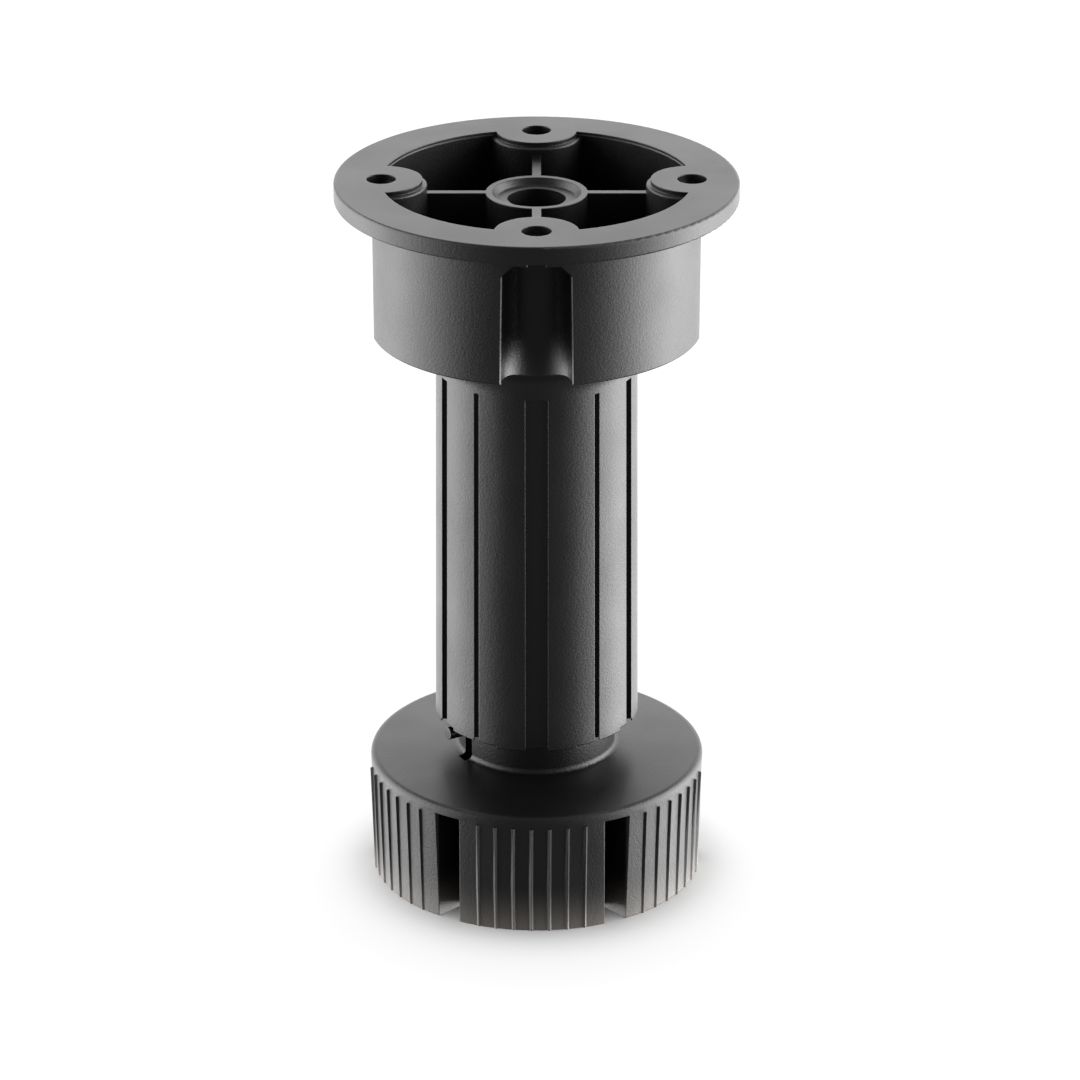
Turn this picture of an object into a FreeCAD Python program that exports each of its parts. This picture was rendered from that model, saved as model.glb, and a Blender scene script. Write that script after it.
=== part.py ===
import FreeCAD, Part
import math
import os

# Adjustable cabinet leg: a moulded leg body and the levelling foot that screws up into it.
# Millimetres and degrees. The floor is z = 0, the common axis is x = y = 0, the front faces -y.

V = FreeCAD.Vector
UP = V(0, 0, 1)
AXIS = V(0, 0, 0)

# Whole leg, screwed right down
leg_height = 126.6

# Mounting flange and its four screws
flange_d = 68.0
flange_t = 3.1
flange_edge_r = 0.4
screw_count = 4
screw_circle_d = 52.0
screw_hole_d = 5.0

# Drum below the flange, open at the top like a cup
drum_d = 56.1
drum_wall = 2.05
drum_depth = 26.3
cup_floor_t = 2.6
mouth_step = 0.14
mouth_depth = 0.5
underside_drop = 0.6
sleeve_fillet_r = 6.2
edge_r = 0.3

# Lobe of the wall round each screw, and the scoop outside it for the screwdriver
lobe_r = 7.7
lobe_lip = 0.77
lobe_lip_depth = 0.8
lobe_round = 0.35
scoop_r = 5.57
scoop_draft = 0.8
scoop_corner = 1.65
screw_boss_t = 5.5
scoop_chamfer = 0.35

# Ring in the middle of the cup, with its counterbore, and the ribs that hold it
ring_d = 17.1
ring_drop = 2.25
ring_hole_d = 9.85
counterbore_d = 15.0
counterbore_floor_d = 13.4
counterbore_depth = 1.1
rib_t = 1.5
rib_root = 0.8

# Sleeve that the foot screws up into
sleeve_top_d = 34.24
sleeve_draft = 0.48
sleeve_bottom_z = 28.9
spindle_clearance = 0.08
bore_end_gap = 3.0
bore_lead_in = 0.5

# Flutes down the front and the back of the sleeve, cut straight along y
flute_inner_w = 0.71
flute_outer_w = 0.84
flute_inner_angle = 35.8
flute_outer_angle = 64.6
flute_inner_depth = 1.1
flute_outer_depth = 2.0
band_w = 3.9
band_depth = 0.55

# Steps of the sleeve's bottom edge
tongue_w = 13.8
tongue_step = 0.35
notch_near_y = 6.0
notch_far_y = 10.2
notch_rise = 0.5

# Foot: disc with a shallow cone on top and a rim that stands on the floor
foot_d = 58.4
foot_draft = 1.2
rim_h = 21.6
rim_edge_r = 1.05
cone_rise = 1.05
plate_t = 2.6
rim_wall = 2.4
foot_turn = 1.8

# Slots round the rim for turning the foot
slot_count = 6
slot_w = 4.2
slot_inner_w = 1.4
slot_depth = 6.5
slot_top_gap = 1.65
slot_chamfer = 0.55
slot_wall = 1.8

# Upright grip ribs between the slots, three-sided and a little smaller towards the floor
grip_count = 7
grip_pitch = 6.15
grip_w = 0.66
grip_h = 0.32
grip_floor_h = 0.22
grip_top_gap = 2.0
grip_root = 0.4

# Neck and hollow spindle, with the peg that stops the foot at the top of its travel
neck_d = 27.28
neck_fillet_r = 0.9
spindle_wall = 3.4
peg_d = 2.25
peg_gap = 0.1
peg_turn = -59.0
relief_w = 2.3
relief_past_neck = 1.35

# Ribs that stiffen the foot's hollow underside
hub_wall = 1.9
web_t = 1.6
web_floor_gap = 1.5

# How far cutters reach past what they cut, and how near counts as the same place
over = 1.0
near = 0.01

# Sizes that follow from the ones above
flange_r = flange_d / 2
drum_r = drum_d / 2
cup_r = drum_r - drum_wall
screw_circle_r = screw_circle_d / 2
flange_bottom_z = leg_height - flange_t
drum_bottom_z = leg_height - drum_depth
cup_floor_z = drum_bottom_z + cup_floor_t
ring_top_z = leg_height - ring_drop
scoop_top_z = leg_height - screw_boss_t
neck_r = neck_d / 2
bore_r = neck_r + spindle_clearance
underside_z = drum_bottom_z - underside_drop
flute_top_z = underside_z - sleeve_fillet_r
sleeve_top_r = sleeve_top_d / 2
sleeve_widen = math.tan(math.radians(sleeve_draft))
sleeve_bottom_r = sleeve_top_r + (underside_z - sleeve_bottom_z) * sleeve_widen
bore_top_z = drum_bottom_z
spindle_top_z = bore_top_z - bore_end_gap
spindle_bore_r = neck_r - spindle_wall
foot_top_r = foot_d / 2
foot_floor_r = foot_top_r - rim_h * math.tan(math.radians(foot_draft))
neck_root_z = rim_h + cone_rise
plate_under_z = rim_h - plate_t
edge_z = sleeve_bottom_z + tongue_step
peg_z = edge_z - peg_gap - peg_d / 2
slot_angle = 360.0 / slot_count


def turned(outline, angle=360.0):
    """Solid turned about the axis from a closed outline of (radius, height) points."""
    points = [V(r, 0, z) for r, z in outline]
    face = Part.Face(Part.makePolygon(points + points[:1]))
    return face.revolve(AXIS, UP, angle)


def prism(outline, z_low, z_high):
    """Upright solid with a closed plan outline of (x, y) points."""
    points = [V(x, y, z_low) for x, y in outline]
    face = Part.Face(Part.makePolygon(points + points[:1]))
    return face.extrude(V(0, 0, z_high - z_low))


def pillar(r, z_low, z_high, x=0.0, y=0.0):
    """Upright cylinder between two heights."""
    return Part.makeCylinder(r, z_high - z_low, V(x, y, z_low))


def box(x_low, x_high, y_low, y_high, z_low, z_high):
    """Box between two corners."""
    return Part.makeBox(x_high - x_low, y_high - y_low, z_high - z_low, V(x_low, y_low, z_low))


def spun(shape, angle):
    """Copy of a shape turned about the axis."""
    copy = shape.copy()
    copy.rotate(AXIS, UP, angle)
    return copy


def round_the_axis(shape, count, start=0.0):
    """Copies of a shape at equal angles round the axis."""
    return [spun(shape, start + i * 360.0 / count) for i in range(count)]


def rings_at(shape, r, z):
    """Circular edges about the axis, of one radius and height."""
    found = []
    for edge in shape.Edges:
        curve = edge.Curve
        if not isinstance(curve, Part.Circle):
            continue
        if curve.Center.distanceToPoint(V(0, 0, z)) < near and abs(curve.Radius - r) < near:
            found.append(edge)
    return found


def leg_outside():
    """Flange, drum and sleeve as one turned form, still solid inside."""
    form = turned([
        (0, leg_height), (flange_r, leg_height), (flange_r, flange_bottom_z),
        (drum_r, flange_bottom_z), (drum_r, drum_bottom_z), (sleeve_top_r, underside_z),
        (sleeve_bottom_r, sleeve_bottom_z), (0, sleeve_bottom_z)])
    form = form.makeFillet(sleeve_fillet_r, rings_at(form, sleeve_top_r, underside_z))
    edges = rings_at(form, flange_r, leg_height) + rings_at(form, flange_r, flange_bottom_z)
    form = form.makeFillet(flange_edge_r, edges)
    return form.makeFillet(edge_r, rings_at(form, drum_r, drum_bottom_z))


def cup():
    """Hollow of the drum, with the shallow step round its mouth."""
    hollow = pillar(cup_r, cup_floor_z, leg_height + over)
    return hollow.fuse(pillar(cup_r + mouth_step, leg_height - mouth_depth, leg_height + over))


def lobe():
    """Thick wall round one screw, with a small rounded ledge below the flange's face."""
    ledge_z = leg_height - lobe_lip_depth
    body = pillar(lobe_r, cup_floor_z - over, ledge_z)
    top = [edge for edge in body.Edges if abs(edge.CenterOfMass.z - ledge_z) < near]
    body = body.makeFillet(lobe_round, top)
    body = body.fuse(pillar(lobe_r - lobe_lip, ledge_z - over, leg_height))
    body.translate(V(0, -screw_circle_r, 0))
    return body.common(pillar(cup_r + drum_wall / 2, cup_floor_z - over, leg_height))


def scoop_section(half, z):
    """Closed wire of the scoop's plan: round back, straight sides, and a chamfer at the drum's outside."""
    mouth_y = -math.sqrt(drum_r ** 2 - half ** 2) + scoop_chamfer
    flare = scoop_chamfer + over
    back = V(0, -screw_circle_r + half, z)
    left = V(-half, -screw_circle_r, z)
    right = V(half, -screw_circle_r, z)
    rim = [right, V(half, mouth_y, z), V(half + flare, mouth_y - flare, z),
           V(-half - flare, mouth_y - flare, z), V(-half, mouth_y, z), left]
    sides = [Part.makeLine(rim[i], rim[i + 1]) for i in range(len(rim) - 1)]
    return Part.Wire([Part.Arc(left, back, right).toShape()] + sides)


def scoop():
    """Cutter for the scoop outside one screw, wider towards the bottom, its top corners cut off."""
    low = flute_top_z
    widen = (scoop_top_z - low) * math.tan(math.radians(scoop_draft))
    cutter = Part.makeLoft([scoop_section(scoop_r + widen, low), scoop_section(scoop_r, scoop_top_z)], True)
    flat = scoop_r - scoop_corner
    wide = scoop_r + widen + scoop_chamfer + 2 * over
    shoulder_z = scoop_top_z - (wide - flat)
    points = [(-flat, scoop_top_z), (flat, scoop_top_z), (wide, shoulder_z), (wide, low),
              (-wide, low), (-wide, shoulder_z)]
    corners = [V(x, 0, z) for x, z in points]
    house = Part.Face(Part.makePolygon(corners + corners[:1])).extrude(V(0, -flange_r, 0))
    return cutter.common(house)


def centre_ring():
    """Tube in the middle of the cup with its ribs out to the lobes."""
    ring = pillar(ring_d / 2, cup_floor_z - over, ring_top_z)
    reach = screw_circle_r - lobe_r + rib_root
    rib = box(-rib_t / 2, rib_t / 2, -reach, -ring_d / 2 + rib_root, cup_floor_z - over, ring_top_z)
    return ring.multiFuse(round_the_axis(rib, screw_count))


def ring_hole():
    """Hole down through the ring into the sleeve, with a tapered counterbore."""
    counterbore = turned([
        (0, ring_top_z - counterbore_depth), (counterbore_floor_d / 2, ring_top_z - counterbore_depth),
        (counterbore_d / 2, ring_top_z), (counterbore_d / 2, ring_top_z + over), (0, ring_top_z + over)])
    return counterbore.fuse(pillar(ring_hole_d / 2, bore_top_z - over, ring_top_z))


def sleeve_bore():
    """Bore for the spindle, with a short lead-in at the bottom."""
    low = sleeve_bottom_z - over
    return turned([
        (0, low), (bore_r + bore_lead_in + over, low), (bore_r, edge_z + bore_lead_in),
        (bore_r, bore_top_z), (0, bore_top_z)])


def flute(angle, width, depth):
    """Cutter for one groove at the front that leans with the sleeve's draft, its floor a flat."""
    sideways = math.sin(math.radians(angle))
    floor_y = depth - sleeve_top_r * math.cos(math.radians(angle))
    low = sleeve_bottom_z - over
    x_low = (sleeve_bottom_r + over * sleeve_widen) * sideways
    x_top = (sleeve_top_r + sleeve_fillet_r * sleeve_widen) * sideways
    half = width / 2
    corners = [V(x_low - half, floor_y, low), V(x_low + half, floor_y, low),
               V(x_top + half, floor_y, flute_top_z), V(x_top - half, floor_y, flute_top_z)]
    return Part.Face(Part.makePolygon(corners + corners[:1])).extrude(V(0, -sleeve_bottom_r, 0))


def flutes():
    """All grooves of the sleeve, front and back."""
    cutters = [flute(0.0, band_w, band_depth)]
    for side in (-1, 1):
        cutters.append(flute(side * flute_inner_angle, flute_inner_w, flute_inner_depth))
        cutters.append(flute(side * flute_outer_angle, flute_outer_w, flute_outer_depth))
    return cutters + [spun(cutter, 180.0) for cutter in cutters]


def bottom_steps():
    """Cutters for the sleeve's bottom edge: tongues stay at front and back, notches rise at the sides."""
    wide = sleeve_bottom_r + over
    low = sleeve_bottom_z - over
    cutters = []
    for side in (-1, 1):
        x_low, x_high = sorted((side * tongue_w / 2, side * wide))
        cutters.append(box(x_low, x_high, -wide, wide, low, edge_z))
        y_low, y_high = sorted((side * notch_near_y, side * notch_far_y))
        cutters.append(box(-wide, wide, y_low, y_high, low, edge_z + notch_rise))
    return cutters


def leg_body():
    """The whole upper moulding."""
    body = leg_outside().cut(cup())
    body = body.multiFuse(round_the_axis(lobe(), screw_count) + [centre_ring()])
    body = body.cut(round_the_axis(scoop(), screw_count))
    hole = pillar(screw_hole_d / 2, scoop_top_z - over, leg_height + over, 0.0, -screw_circle_r)
    cutters = round_the_axis(hole, screw_count) + [ring_hole(), sleeve_bore()]
    return body.cut(cutters + flutes() + bottom_steps())


def foot_outside():
    """Disc, neck and spindle as one turned form, still solid inside."""
    form = turned([
        (0, 0), (foot_floor_r, 0), (foot_top_r, rim_h), (neck_r, neck_root_z),
        (neck_r, spindle_top_z), (0, spindle_top_z)])
    form = form.makeFillet(neck_fillet_r, rings_at(form, neck_r, neck_root_z))
    form = form.makeFillet(rim_edge_r, rings_at(form, foot_top_r, rim_h))
    return form.makeChamfer(bore_lead_in, rings_at(form, neck_r, spindle_top_z))


def rim_r_at(z):
    """Outer radius of the drafted rim at one height."""
    return foot_floor_r + z * math.tan(math.radians(foot_draft))


def underside_hollow():
    """Space under the foot's plate between the rim and the hub, without webs or slot walls."""
    inner = neck_r + hub_wall - neck_fillet_r
    space = turned([
        (inner, -over), (rim_r_at(-over) - rim_wall, -over),
        (rim_r_at(plate_under_z) - rim_wall, plate_under_z), (inner, plate_under_z + cone_rise)])
    web = box(-web_t / 2, web_t / 2, -foot_top_r, 0, web_floor_gap, leg_height)
    walls = round_the_axis(web, slot_count)
    walls += round_the_axis(slot_walls(), slot_count, slot_angle / 2)
    return space.cut(walls)


def slot_plan(grow):
    """Plan outline of one slot at the front, grown by a wall where asked."""
    mouth = foot_top_r - slot_chamfer
    back = -foot_top_r + slot_depth + grow
    outer = slot_w / 2 + grow
    inner = slot_inner_w / 2 + grow
    return [(-outer, -mouth), (-inner, back), (inner, back), (outer, -mouth)]


def slot_walls():
    """Solid that keeps a wall round one slot inside the rim."""
    return prism(slot_plan(slot_wall), -over, rim_h)


def slot_cutter():
    """Cutter for one slot, wedge shaped in plan and chamfered at its mouth."""
    flare = slot_chamfer + over
    mouth = foot_top_r - slot_chamfer
    left = (-slot_w / 2 - flare, -mouth - flare)
    right = (slot_w / 2 + flare, -mouth - flare)
    return prism(slot_plan(0.0) + [right, left], -over, rim_h - slot_top_gap)


def grip_section(z, height):
    """Three-sided section of one grip rib at the front, its base inside the wall."""
    base = rim_r_at(z) - grip_root
    crest = rim_r_at(z) + height
    half = (crest - base) * grip_w / (2 * grip_h)
    corners = [V(0, -crest, z), V(half, -base, z), V(-half, -base, z)]
    return Part.makePolygon(corners + corners[:1])


def grip_ribs():
    """All upright grip ribs of the rim, panel by panel."""
    top = rim_h - grip_top_gap
    rib = Part.makeLoft([grip_section(0.0, grip_floor_h), grip_section(top, grip_h)], True, True)
    ribs = []
    for i in range(grip_count):
        ribs += round_the_axis(rib, slot_count, (i - (grip_count - 1) / 2) * grip_pitch)
    return ribs


def peg():
    """Stop peg that stands out of the neck, level with the sleeve's outside."""
    length = sleeve_bottom_r - spindle_bore_r - spindle_wall / 2
    return Part.makeCylinder(peg_d / 2, length, V(0, -sleeve_bottom_r, peg_z), V(0, 1, 0))


def peg_relief():
    """Cutter for the window below the peg, through the plate and the neck's wall."""
    return box(-relief_w / 2, relief_w / 2, -neck_r - relief_past_neck, -spindle_bore_r + over,
               plate_under_z - over, peg_z - peg_d / 2 - peg_gap)


def levelling_foot():
    """The whole lower moulding, turned as it stands in the sleeve."""
    foot = foot_outside().cut(underside_hollow())
    foot = foot.multiFuse(grip_ribs())
    foot = foot.cut(round_the_axis(slot_cutter(), slot_count, slot_angle / 2))
    foot = foot.cut([pillar(spindle_bore_r, -over, leg_height), spun(peg_relief(), peg_turn)])
    foot = foot.fuse(spun(peg(), peg_turn))
    return spun(foot, -foot_turn)


def save(name, shape):
    """Write one moulding as a single solid."""
    solid = shape.removeSplitter().Solids[0]
    solid.exportStep("parts/" + name + ".step")
    size = solid.optimalBoundingBox()
    print(name, len(shape.Solids), solid.isValid(), round(solid.Volume, 1), len(solid.Faces),
          [round(v, 2) for v in (size.XLength, size.YLength, size.ZMin, size.ZMax)])


os.makedirs("parts", exist_ok=True)
save("leg_body", leg_body())
save("levelling_foot", levelling_foot())
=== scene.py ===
import math

import bpy
from mathutils import Matrix, Vector


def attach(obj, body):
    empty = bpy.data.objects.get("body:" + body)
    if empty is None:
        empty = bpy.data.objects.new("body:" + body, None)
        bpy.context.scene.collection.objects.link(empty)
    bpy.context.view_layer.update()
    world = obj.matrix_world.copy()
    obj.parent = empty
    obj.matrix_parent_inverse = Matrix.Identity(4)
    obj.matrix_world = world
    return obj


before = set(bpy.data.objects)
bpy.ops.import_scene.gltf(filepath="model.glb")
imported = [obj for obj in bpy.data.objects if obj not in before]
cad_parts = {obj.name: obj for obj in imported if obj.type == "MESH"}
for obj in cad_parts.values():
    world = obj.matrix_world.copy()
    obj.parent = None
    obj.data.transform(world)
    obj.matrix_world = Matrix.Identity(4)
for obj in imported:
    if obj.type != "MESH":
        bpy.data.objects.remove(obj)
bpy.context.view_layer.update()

# Black moulded cabinet leg on a white studio floor. Metres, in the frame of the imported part.

MM = 0.001
WHITE = (1.0, 1.0, 1.0, 1.0)

# Camera at the photograph's angle
FRAME_PX = 1080
SENSOR_MM = 36.0
CAMERA_FAR_MM = 738.2
CAMERA_HIGH_MM = 378.9
CAMERA_PITCH_DEG = 23.306
CAMERA_FOCAL_PX = 4651.0
CAMERA_REACH = 50.0
AXIS_LEFT_PX = 3.6

# Plastic: walls are grained, and faces whose normal is near to upright are level and smoother
BLACK = (0.0015, 0.0015, 0.0016, 1.0)
SHINE = 0.3
WALL_BELOW = 0.8
LEVEL_ABOVE = 0.97
WALL_ROUGHNESS = 0.41
TOP_ROUGHNESS = 0.34
CLOUD_MM = 11.0
CLOUD_DETAIL = 2.0
CLOUD_LOW = 0.3
CLOUD_HIGH = 0.7
CLOUD_ROUGHNESS = 0.06
GRAIN_MM = 0.42
GRAIN_DETAIL = 3.0
TOP_GRAIN = 0.35
LEG_GRAIN_MM = 0.042
FOOT_GRAIN_MM = 0.055
EDGE_SAMPLES = 8
LEG_EDGE_MM = 0.25
FOOT_EDGE_MM = 0.16

# Painted light from the white floor: the black turns greyer towards the floor
PAINTED_FLOOR_LIGHT_GREY = (0.075, 0.068, 0.062, 1.0)
PAINTED_FLOOR_LIGHT_HIGH_MM = 9.0
PAINTED_FLOOR_LIGHT_FADE = 2.0

# Thread that stands out of the spindle's core, above its plain neck
CORE_R_MM = 13.64
THREAD_OUT_MM = 0.7
THREAD_PITCH_MM = 3.5
THREAD_ROOT_W_MM = 1.9
THREAD_CREST_W_MM = 0.8
THREAD_SUNK_MM = 0.1
THREAD_LOW_MM = 33.5
THREAD_HIGH_MM = 93.0
THREAD_STEPS = 90
THREAD_RUNOUT = 0.25
THREAD_SHARP_DEG = 35.0

# Grip ribs of the foot's rim: a little taller than the frame's own ones, which they cover
RIM_FLOOR_R_MM = 28.748
RIM_TOP_R_MM = 29.158
GRIP_TOP_MM = 19.62
GRIP_OUT_TOP_MM = 0.46
GRIP_OUT_FLOOR_MM = 0.26
GRIP_HALF_W_MM = 0.34
GRIP_ROOT_MM = 0.4
GRIP_PANELS = 6
GRIP_COUNT = 7
GRIP_PITCH_DEG = 6.15
FOOT_TURN_DEG = -1.8

# White floor with a wide sun of its own
FLOOR_HALF = 6.0
FLOOR_WHITE = (0.8, 0.8, 0.8, 1.0)
FLOOR_ROUGHNESS = 0.9
FLOOR_SHINE = 0.1
FLOOR_SUN = 3.35
FLOOR_SUN_DEG = 50.0
FLOOR_SUN_TILT_DEG = 8.0

# Dim even light from all round
SURROUND = 0.32

# Tall soft strips round the leg: azimuth from the front (right is positive) and radiance
MIDDLE = Vector((0.0, 0.0, 0.065))
PANEL_AWAY = 1.0
STRIP_UP_DEG = 2.0
STRIP_W = 0.35
STRIP_H = 1.5
STRIPS = (
    (-162, 1.8),
    (-144, 2.1),
    (-124, 4.8),
    (-104, 8.6),
    (-84, 7.8),
    (-64, 3.3),
    (64, 5.2),
    (84, 13.3),
    (104, 13.6),
    (124, 6.0),
    (144, 2.3),
    (162, 1.9),
    (180, 1.9),
)

# Ceiling panel over the leg's back
CEILING_AZIMUTH_DEG = 180.0
CEILING_UP_DEG = 66.0
CEILING_W = 1.0
CEILING_RADIANCE = 1.3


def add(nodes, kind, **values):
    """Adds a node and sets its plain properties."""
    node = nodes.new(kind)
    for key, value in values.items():
        setattr(node, key, value)
    return node


def remap(nodes, links, source, lowest, highest, first, last):
    """Maps a value from one range to another, and holds it at the ends."""
    node = add(nodes, "ShaderNodeMapRange")
    for socket, value in (("From Min", lowest), ("From Max", highest), ("To Min", first), ("To Max", last)):
        node.inputs[socket].default_value = value
    links.new(source, node.inputs["Value"])
    return node.outputs["Result"]


def noise(nodes, links, place, size, detail):
    """Soft three-dimensional noise with lumps of one size, in metres."""
    node = add(nodes, "ShaderNodeTexNoise", noise_dimensions="3D")
    node.inputs["Scale"].default_value = 1.0 / size
    node.inputs["Detail"].default_value = detail
    links.new(place.outputs["Object"], node.inputs["Vector"])
    return node.outputs["Fac"]


def height_of(nodes, links, vector):
    """Upright part of a vector."""
    split = add(nodes, "ShaderNodeSeparateXYZ")
    links.new(vector, split.inputs["Vector"])
    return split.outputs["Z"]


def grained_normal(nodes, links, place, facing, edge_mm, grain_mm):
    """Rounded edges under a fine grain, which is weaker on level faces."""
    depth = remap(nodes, links, facing, WALL_BELOW, LEVEL_ABOVE, 1.0, TOP_GRAIN)
    edge = add(nodes, "ShaderNodeBevel", samples=EDGE_SAMPLES)
    edge.inputs["Radius"].default_value = edge_mm * MM
    bump = add(nodes, "ShaderNodeBump")
    bump.inputs["Distance"].default_value = grain_mm * MM
    links.new(depth, bump.inputs["Strength"])
    links.new(noise(nodes, links, place, GRAIN_MM * MM, GRAIN_DETAIL), bump.inputs["Height"])
    links.new(edge.outputs["Normal"], bump.inputs["Normal"])
    return bump.outputs["Normal"]


def clouded_roughness(nodes, links, place, facing):
    """Roughness of walls or level faces, with soft clouds in it."""
    plain = remap(nodes, links, facing, WALL_BELOW, LEVEL_ABOVE, WALL_ROUGHNESS, TOP_ROUGHNESS)
    cloud = noise(nodes, links, place, CLOUD_MM * MM, CLOUD_DETAIL)
    half = CLOUD_ROUGHNESS / 2
    spread = remap(nodes, links, cloud, CLOUD_LOW, CLOUD_HIGH, -half, half)
    rough = add(nodes, "ShaderNodeMath", operation="ADD")
    links.new(plain, rough.inputs[0])
    links.new(spread, rough.inputs[1])
    return rough.outputs["Value"]


def painted_floor_light_colour(nodes, links, place):
    """Black that turns greyer near the floor, as painted light from the white floor."""
    height = height_of(nodes, links, place.outputs["Object"])
    low = remap(nodes, links, height, 0.0, PAINTED_FLOOR_LIGHT_HIGH_MM * MM, 1.0, 0.0)
    fade = add(nodes, "ShaderNodeMath", operation="POWER")
    links.new(low, fade.inputs[0])
    fade.inputs[1].default_value = PAINTED_FLOOR_LIGHT_FADE
    colour = add(nodes, "ShaderNodeMix", data_type="RGBA")
    links.new(fade.outputs["Value"], colour.inputs["Factor"])
    colour.inputs["A"].default_value = BLACK
    colour.inputs["B"].default_value = PAINTED_FLOOR_LIGHT_GREY
    return colour.outputs["Result"]


def black_plastic(name, edge_mm, grain_mm, with_painted_floor_light):
    """Black moulded plastic: grained walls, smoother level faces, soft edges that catch the light."""
    material = bpy.data.materials.new(name)
    material.use_nodes = True
    nodes = material.node_tree.nodes
    links = material.node_tree.links
    shader = nodes["Principled BSDF"]
    shader.inputs["Specular IOR Level"].default_value = SHINE
    shader.inputs["Base Color"].default_value = BLACK
    place = add(nodes, "ShaderNodeTexCoord")
    facing = height_of(nodes, links, place.outputs["Normal"])
    normal = grained_normal(nodes, links, place, facing, edge_mm, grain_mm)
    links.new(normal, shader.inputs["Normal"])
    links.new(clouded_roughness(nodes, links, place, facing), shader.inputs["Roughness"])
    # Painted light: the base colour turns greyer near the floor, standing in for light from the white
    # floor.
    if with_painted_floor_light:
        links.new(painted_floor_light_colour(nodes, links, place), shader.inputs["Base Color"])
    return material


def dress(node_name, material):
    """Puts one material on a node of the frame."""
    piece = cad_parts[node_name]
    piece.data.materials.clear()
    piece.data.materials.append(material)


def built(name, points, faces, material):
    """New piece from points and faces."""
    mesh = bpy.data.meshes.new(name)
    mesh.from_pydata(points, [], faces)
    mesh.validate()
    mesh.materials.append(material)
    piece = bpy.data.objects.new(name, mesh)
    bpy.context.scene.collection.objects.link(piece)
    return piece


def thread_points(count):
    """Corners of the thread's section at each step, flattened into the core at both ends."""
    section = (
        (-THREAD_SUNK_MM, -THREAD_ROOT_W_MM / 2),
        (THREAD_OUT_MM, -THREAD_CREST_W_MM / 2),
        (THREAD_OUT_MM, THREAD_CREST_W_MM / 2),
        (-THREAD_SUNK_MM, THREAD_ROOT_W_MM / 2),
    )
    runout = THREAD_RUNOUT * THREAD_STEPS
    points = []
    for step in range(count + 1):
        angle = 2.0 * math.pi * step / THREAD_STEPS
        middle = THREAD_LOW_MM + THREAD_ROOT_W_MM / 2 + THREAD_PITCH_MM * step / THREAD_STEPS
        rise = min(1.0, step / runout, (count - step) / runout)
        for out, up in section:
            reach = CORE_R_MM - THREAD_SUNK_MM + (out + THREAD_SUNK_MM) * rise
            point = Vector((reach * math.cos(angle), reach * math.sin(angle), middle + up))
            points.append(point * MM)
    return points


def spindle_thread(material):
    """Helical ridge with sloping flanks, which rises out of the core and sinks into it at its ends."""
    turns = (THREAD_HIGH_MM - THREAD_LOW_MM - THREAD_ROOT_W_MM) / THREAD_PITCH_MM
    count = round(turns * THREAD_STEPS)
    points = thread_points(count)
    corners = len(points) // (count + 1)
    faces = [tuple(range(corners)), tuple(count * corners + i for i in reversed(range(corners)))]
    for step in range(count):
        here, there = step * corners, (step + 1) * corners
        for i in range(corners):
            j = (i + 1) % corners
            faces.append((here + i, there + i, there + j, here + j))
    piece = built("spindle_thread", points, faces, material)
    for face in piece.data.polygons:
        face.use_smooth = True
    piece.data.set_sharp_from_angle(angle=math.radians(THREAD_SHARP_DEG))
    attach(piece, "foot")
    return piece


def grip_points(turn):
    """Six corners of one grip rib, a triangle at the floor and one at its top."""
    levels = ((0.0, RIM_FLOOR_R_MM, GRIP_OUT_FLOOR_MM), (GRIP_TOP_MM, RIM_TOP_R_MM, GRIP_OUT_TOP_MM))
    points = []
    for height, wall, out in levels:
        half = GRIP_HALF_W_MM * (out + GRIP_ROOT_MM) / out
        base = GRIP_ROOT_MM - wall
        for point in ((-half, base, height), (0.0, -wall - out, height), (half, base, height)):
            points.append(turn @ Vector(point) * MM)
    return points


def grip_ribs(material):
    """Three-sided upright ribs on the panels of the foot's rim, with their bases inside the wall."""
    sides = ((0, 1, 4, 3), (1, 2, 5, 4), (2, 0, 3, 5), (2, 1, 0), (3, 4, 5))
    points = []
    faces = []
    for i in range(GRIP_PANELS * GRIP_COUNT):
        to_panel = 360.0 / GRIP_PANELS * (i // GRIP_COUNT)
        in_panel = (i % GRIP_COUNT - (GRIP_COUNT - 1) / 2) * GRIP_PITCH_DEG
        turn = Matrix.Rotation(math.radians(to_panel + in_panel + FOOT_TURN_DEG), 3, "Z")
        start = len(points)
        points += grip_points(turn)
        faces += [tuple(start + corner for corner in side) for side in sides]
    piece = built("grip_ribs", points, faces, material)
    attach(piece, "foot")
    return piece


def group(name, pieces):
    """Collection of pieces that a light is limited to."""
    collection = bpy.data.collections.new(name)
    for piece in pieces:
        collection.objects.link(piece)
    return collection


def white_floor_material():
    """Plain matt white."""
    material = bpy.data.materials.new("floor_white")
    material.use_nodes = True
    shader = material.node_tree.nodes["Principled BSDF"]
    shader.inputs["Base Color"].default_value = FLOOR_WHITE
    shader.inputs["Roughness"].default_value = FLOOR_ROUGHNESS
    shader.inputs["Specular IOR Level"].default_value = FLOOR_SHINE
    return material


def floor():
    """Large plain white floor with a soft overhead light of its own, which only the foot shades."""
    half = FLOOR_HALF
    corners = [(-half, -half, 0), (half, -half, 0), (half, half, 0), (-half, half, 0)]
    piece = built("floor", corners, [(0, 1, 2, 3)], white_floor_material())
    piece.visible_glossy = False
    sun = bpy.data.lights.new("floor_sun", "SUN")
    sun.energy = FLOOR_SUN
    sun.angle = math.radians(FLOOR_SUN_DEG)
    lamp = bpy.data.objects.new("floor_sun", sun)
    lamp.rotation_euler = (-math.radians(FLOOR_SUN_TILT_DEG), 0.0, 0.0)
    bpy.context.scene.collection.objects.link(lamp)
    lamp.light_linking.receiver_collection = group("ground", [piece])
    lamp.light_linking.blocker_collection = group("foot_only", [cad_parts["levelling_foot"]])


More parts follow.
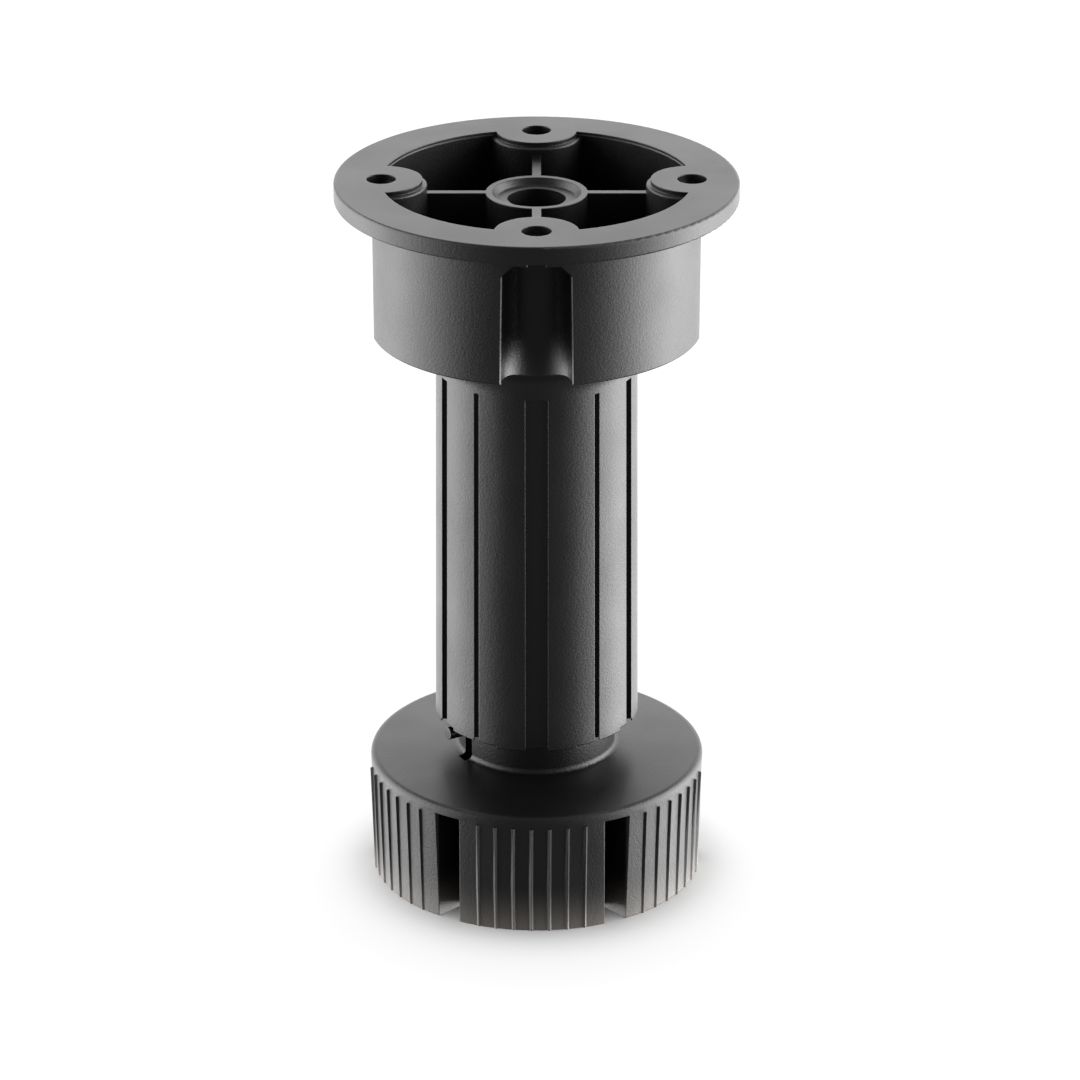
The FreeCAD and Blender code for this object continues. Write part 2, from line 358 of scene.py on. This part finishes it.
def surround():
    """Dim even light from all round, in front of a white background."""
    world = bpy.data.worlds.new("surround")
    world.use_nodes = True
    nodes = world.node_tree.nodes
    links = world.node_tree.links
    dim = nodes["Background"]
    dim.inputs["Color"].default_value = WHITE
    dim.inputs["Strength"].default_value = SURROUND
    white = add(nodes, "ShaderNodeBackground")
    white.inputs["Color"].default_value = WHITE
    path = add(nodes, "ShaderNodeLightPath")
    seen = add(nodes, "ShaderNodeMixShader")
    links.new(path.outputs["Is Camera Ray"], seen.inputs["Fac"])
    links.new(dim.outputs["Background"], seen.inputs[1])
    links.new(white.outputs["Background"], seen.inputs[2])
    links.new(seen.outputs["Shader"], nodes["World Output"].inputs["Surface"])
    bpy.context.scene.world = world


def panel(name, azimuth, elevation, width, height, radiance, lit):
    """Flat soft light that faces the leg and lights nothing else."""
    across, up = math.radians(azimuth), math.radians(elevation)
    away = Vector((math.sin(across) * math.cos(up), -math.cos(across) * math.cos(up), math.sin(up)))
    light = bpy.data.lights.new(name, "AREA")
    light.shape = "RECTANGLE"
    light.size = width
    light.size_y = height
    light.energy = math.pi * width * height * radiance
    lamp = bpy.data.objects.new(name, light)
    lamp.location = MIDDLE + away * PANEL_AWAY
    lamp.rotation_euler = (-away).to_track_quat("-Z", "Y").to_euler()
    lamp.visible_camera = False
    bpy.context.scene.collection.objects.link(lamp)
    lamp.light_linking.receiver_collection = lit
    lamp.light_linking.blocker_collection = lit


def studio(pieces):
    """Tall soft strips round the leg and a ceiling panel over its back."""
    surround()
    leg = group("leg_pieces", pieces)
    for azimuth, radiance in STRIPS:
        panel(f"strip_{azimuth % 360}", azimuth, STRIP_UP_DEG, STRIP_W, STRIP_H, radiance, leg)
    panel("ceiling", CEILING_AZIMUTH_DEG, CEILING_UP_DEG, CEILING_W, CEILING_W, CEILING_RADIANCE, leg)


def camera():
    """Long lens camera in front, looking down at the photograph's angle."""
    lens = bpy.data.cameras.new("camera")
    lens.sensor_width = SENSOR_MM
    lens.lens = CAMERA_FOCAL_PX / FRAME_PX * SENSOR_MM
    lens.clip_end = CAMERA_REACH
    eye = bpy.data.objects.new("camera", lens)
    eye.location = (0.0, -CAMERA_FAR_MM * MM, CAMERA_HIGH_MM * MM)
    yaw = Matrix.Rotation(-math.atan(AXIS_LEFT_PX / CAMERA_FOCAL_PX), 3, "Z")
    tilt = Matrix.Rotation(math.radians(90.0 - CAMERA_PITCH_DEG), 3, "X")
    eye.rotation_euler = (yaw @ tilt).to_euler()
    bpy.context.scene.collection.objects.link(eye)
    bpy.context.scene.camera = eye


dress("leg_body", black_plastic("black_leg", LEG_EDGE_MM, LEG_GRAIN_MM, with_painted_floor_light=False))
# The foot's base colour holds painted light from the floor near its bottom.
foot_plastic = black_plastic("black_foot", FOOT_EDGE_MM, FOOT_GRAIN_MM, with_painted_floor_light=True)
dress("levelling_foot", foot_plastic)
thread = spindle_thread(foot_plastic)
grips = grip_ribs(foot_plastic)
floor()
studio([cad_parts["leg_body"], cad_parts["levelling_foot"], thread, grips])
camera()
bpy.context.scene.view_settings.view_transform = "Standard"
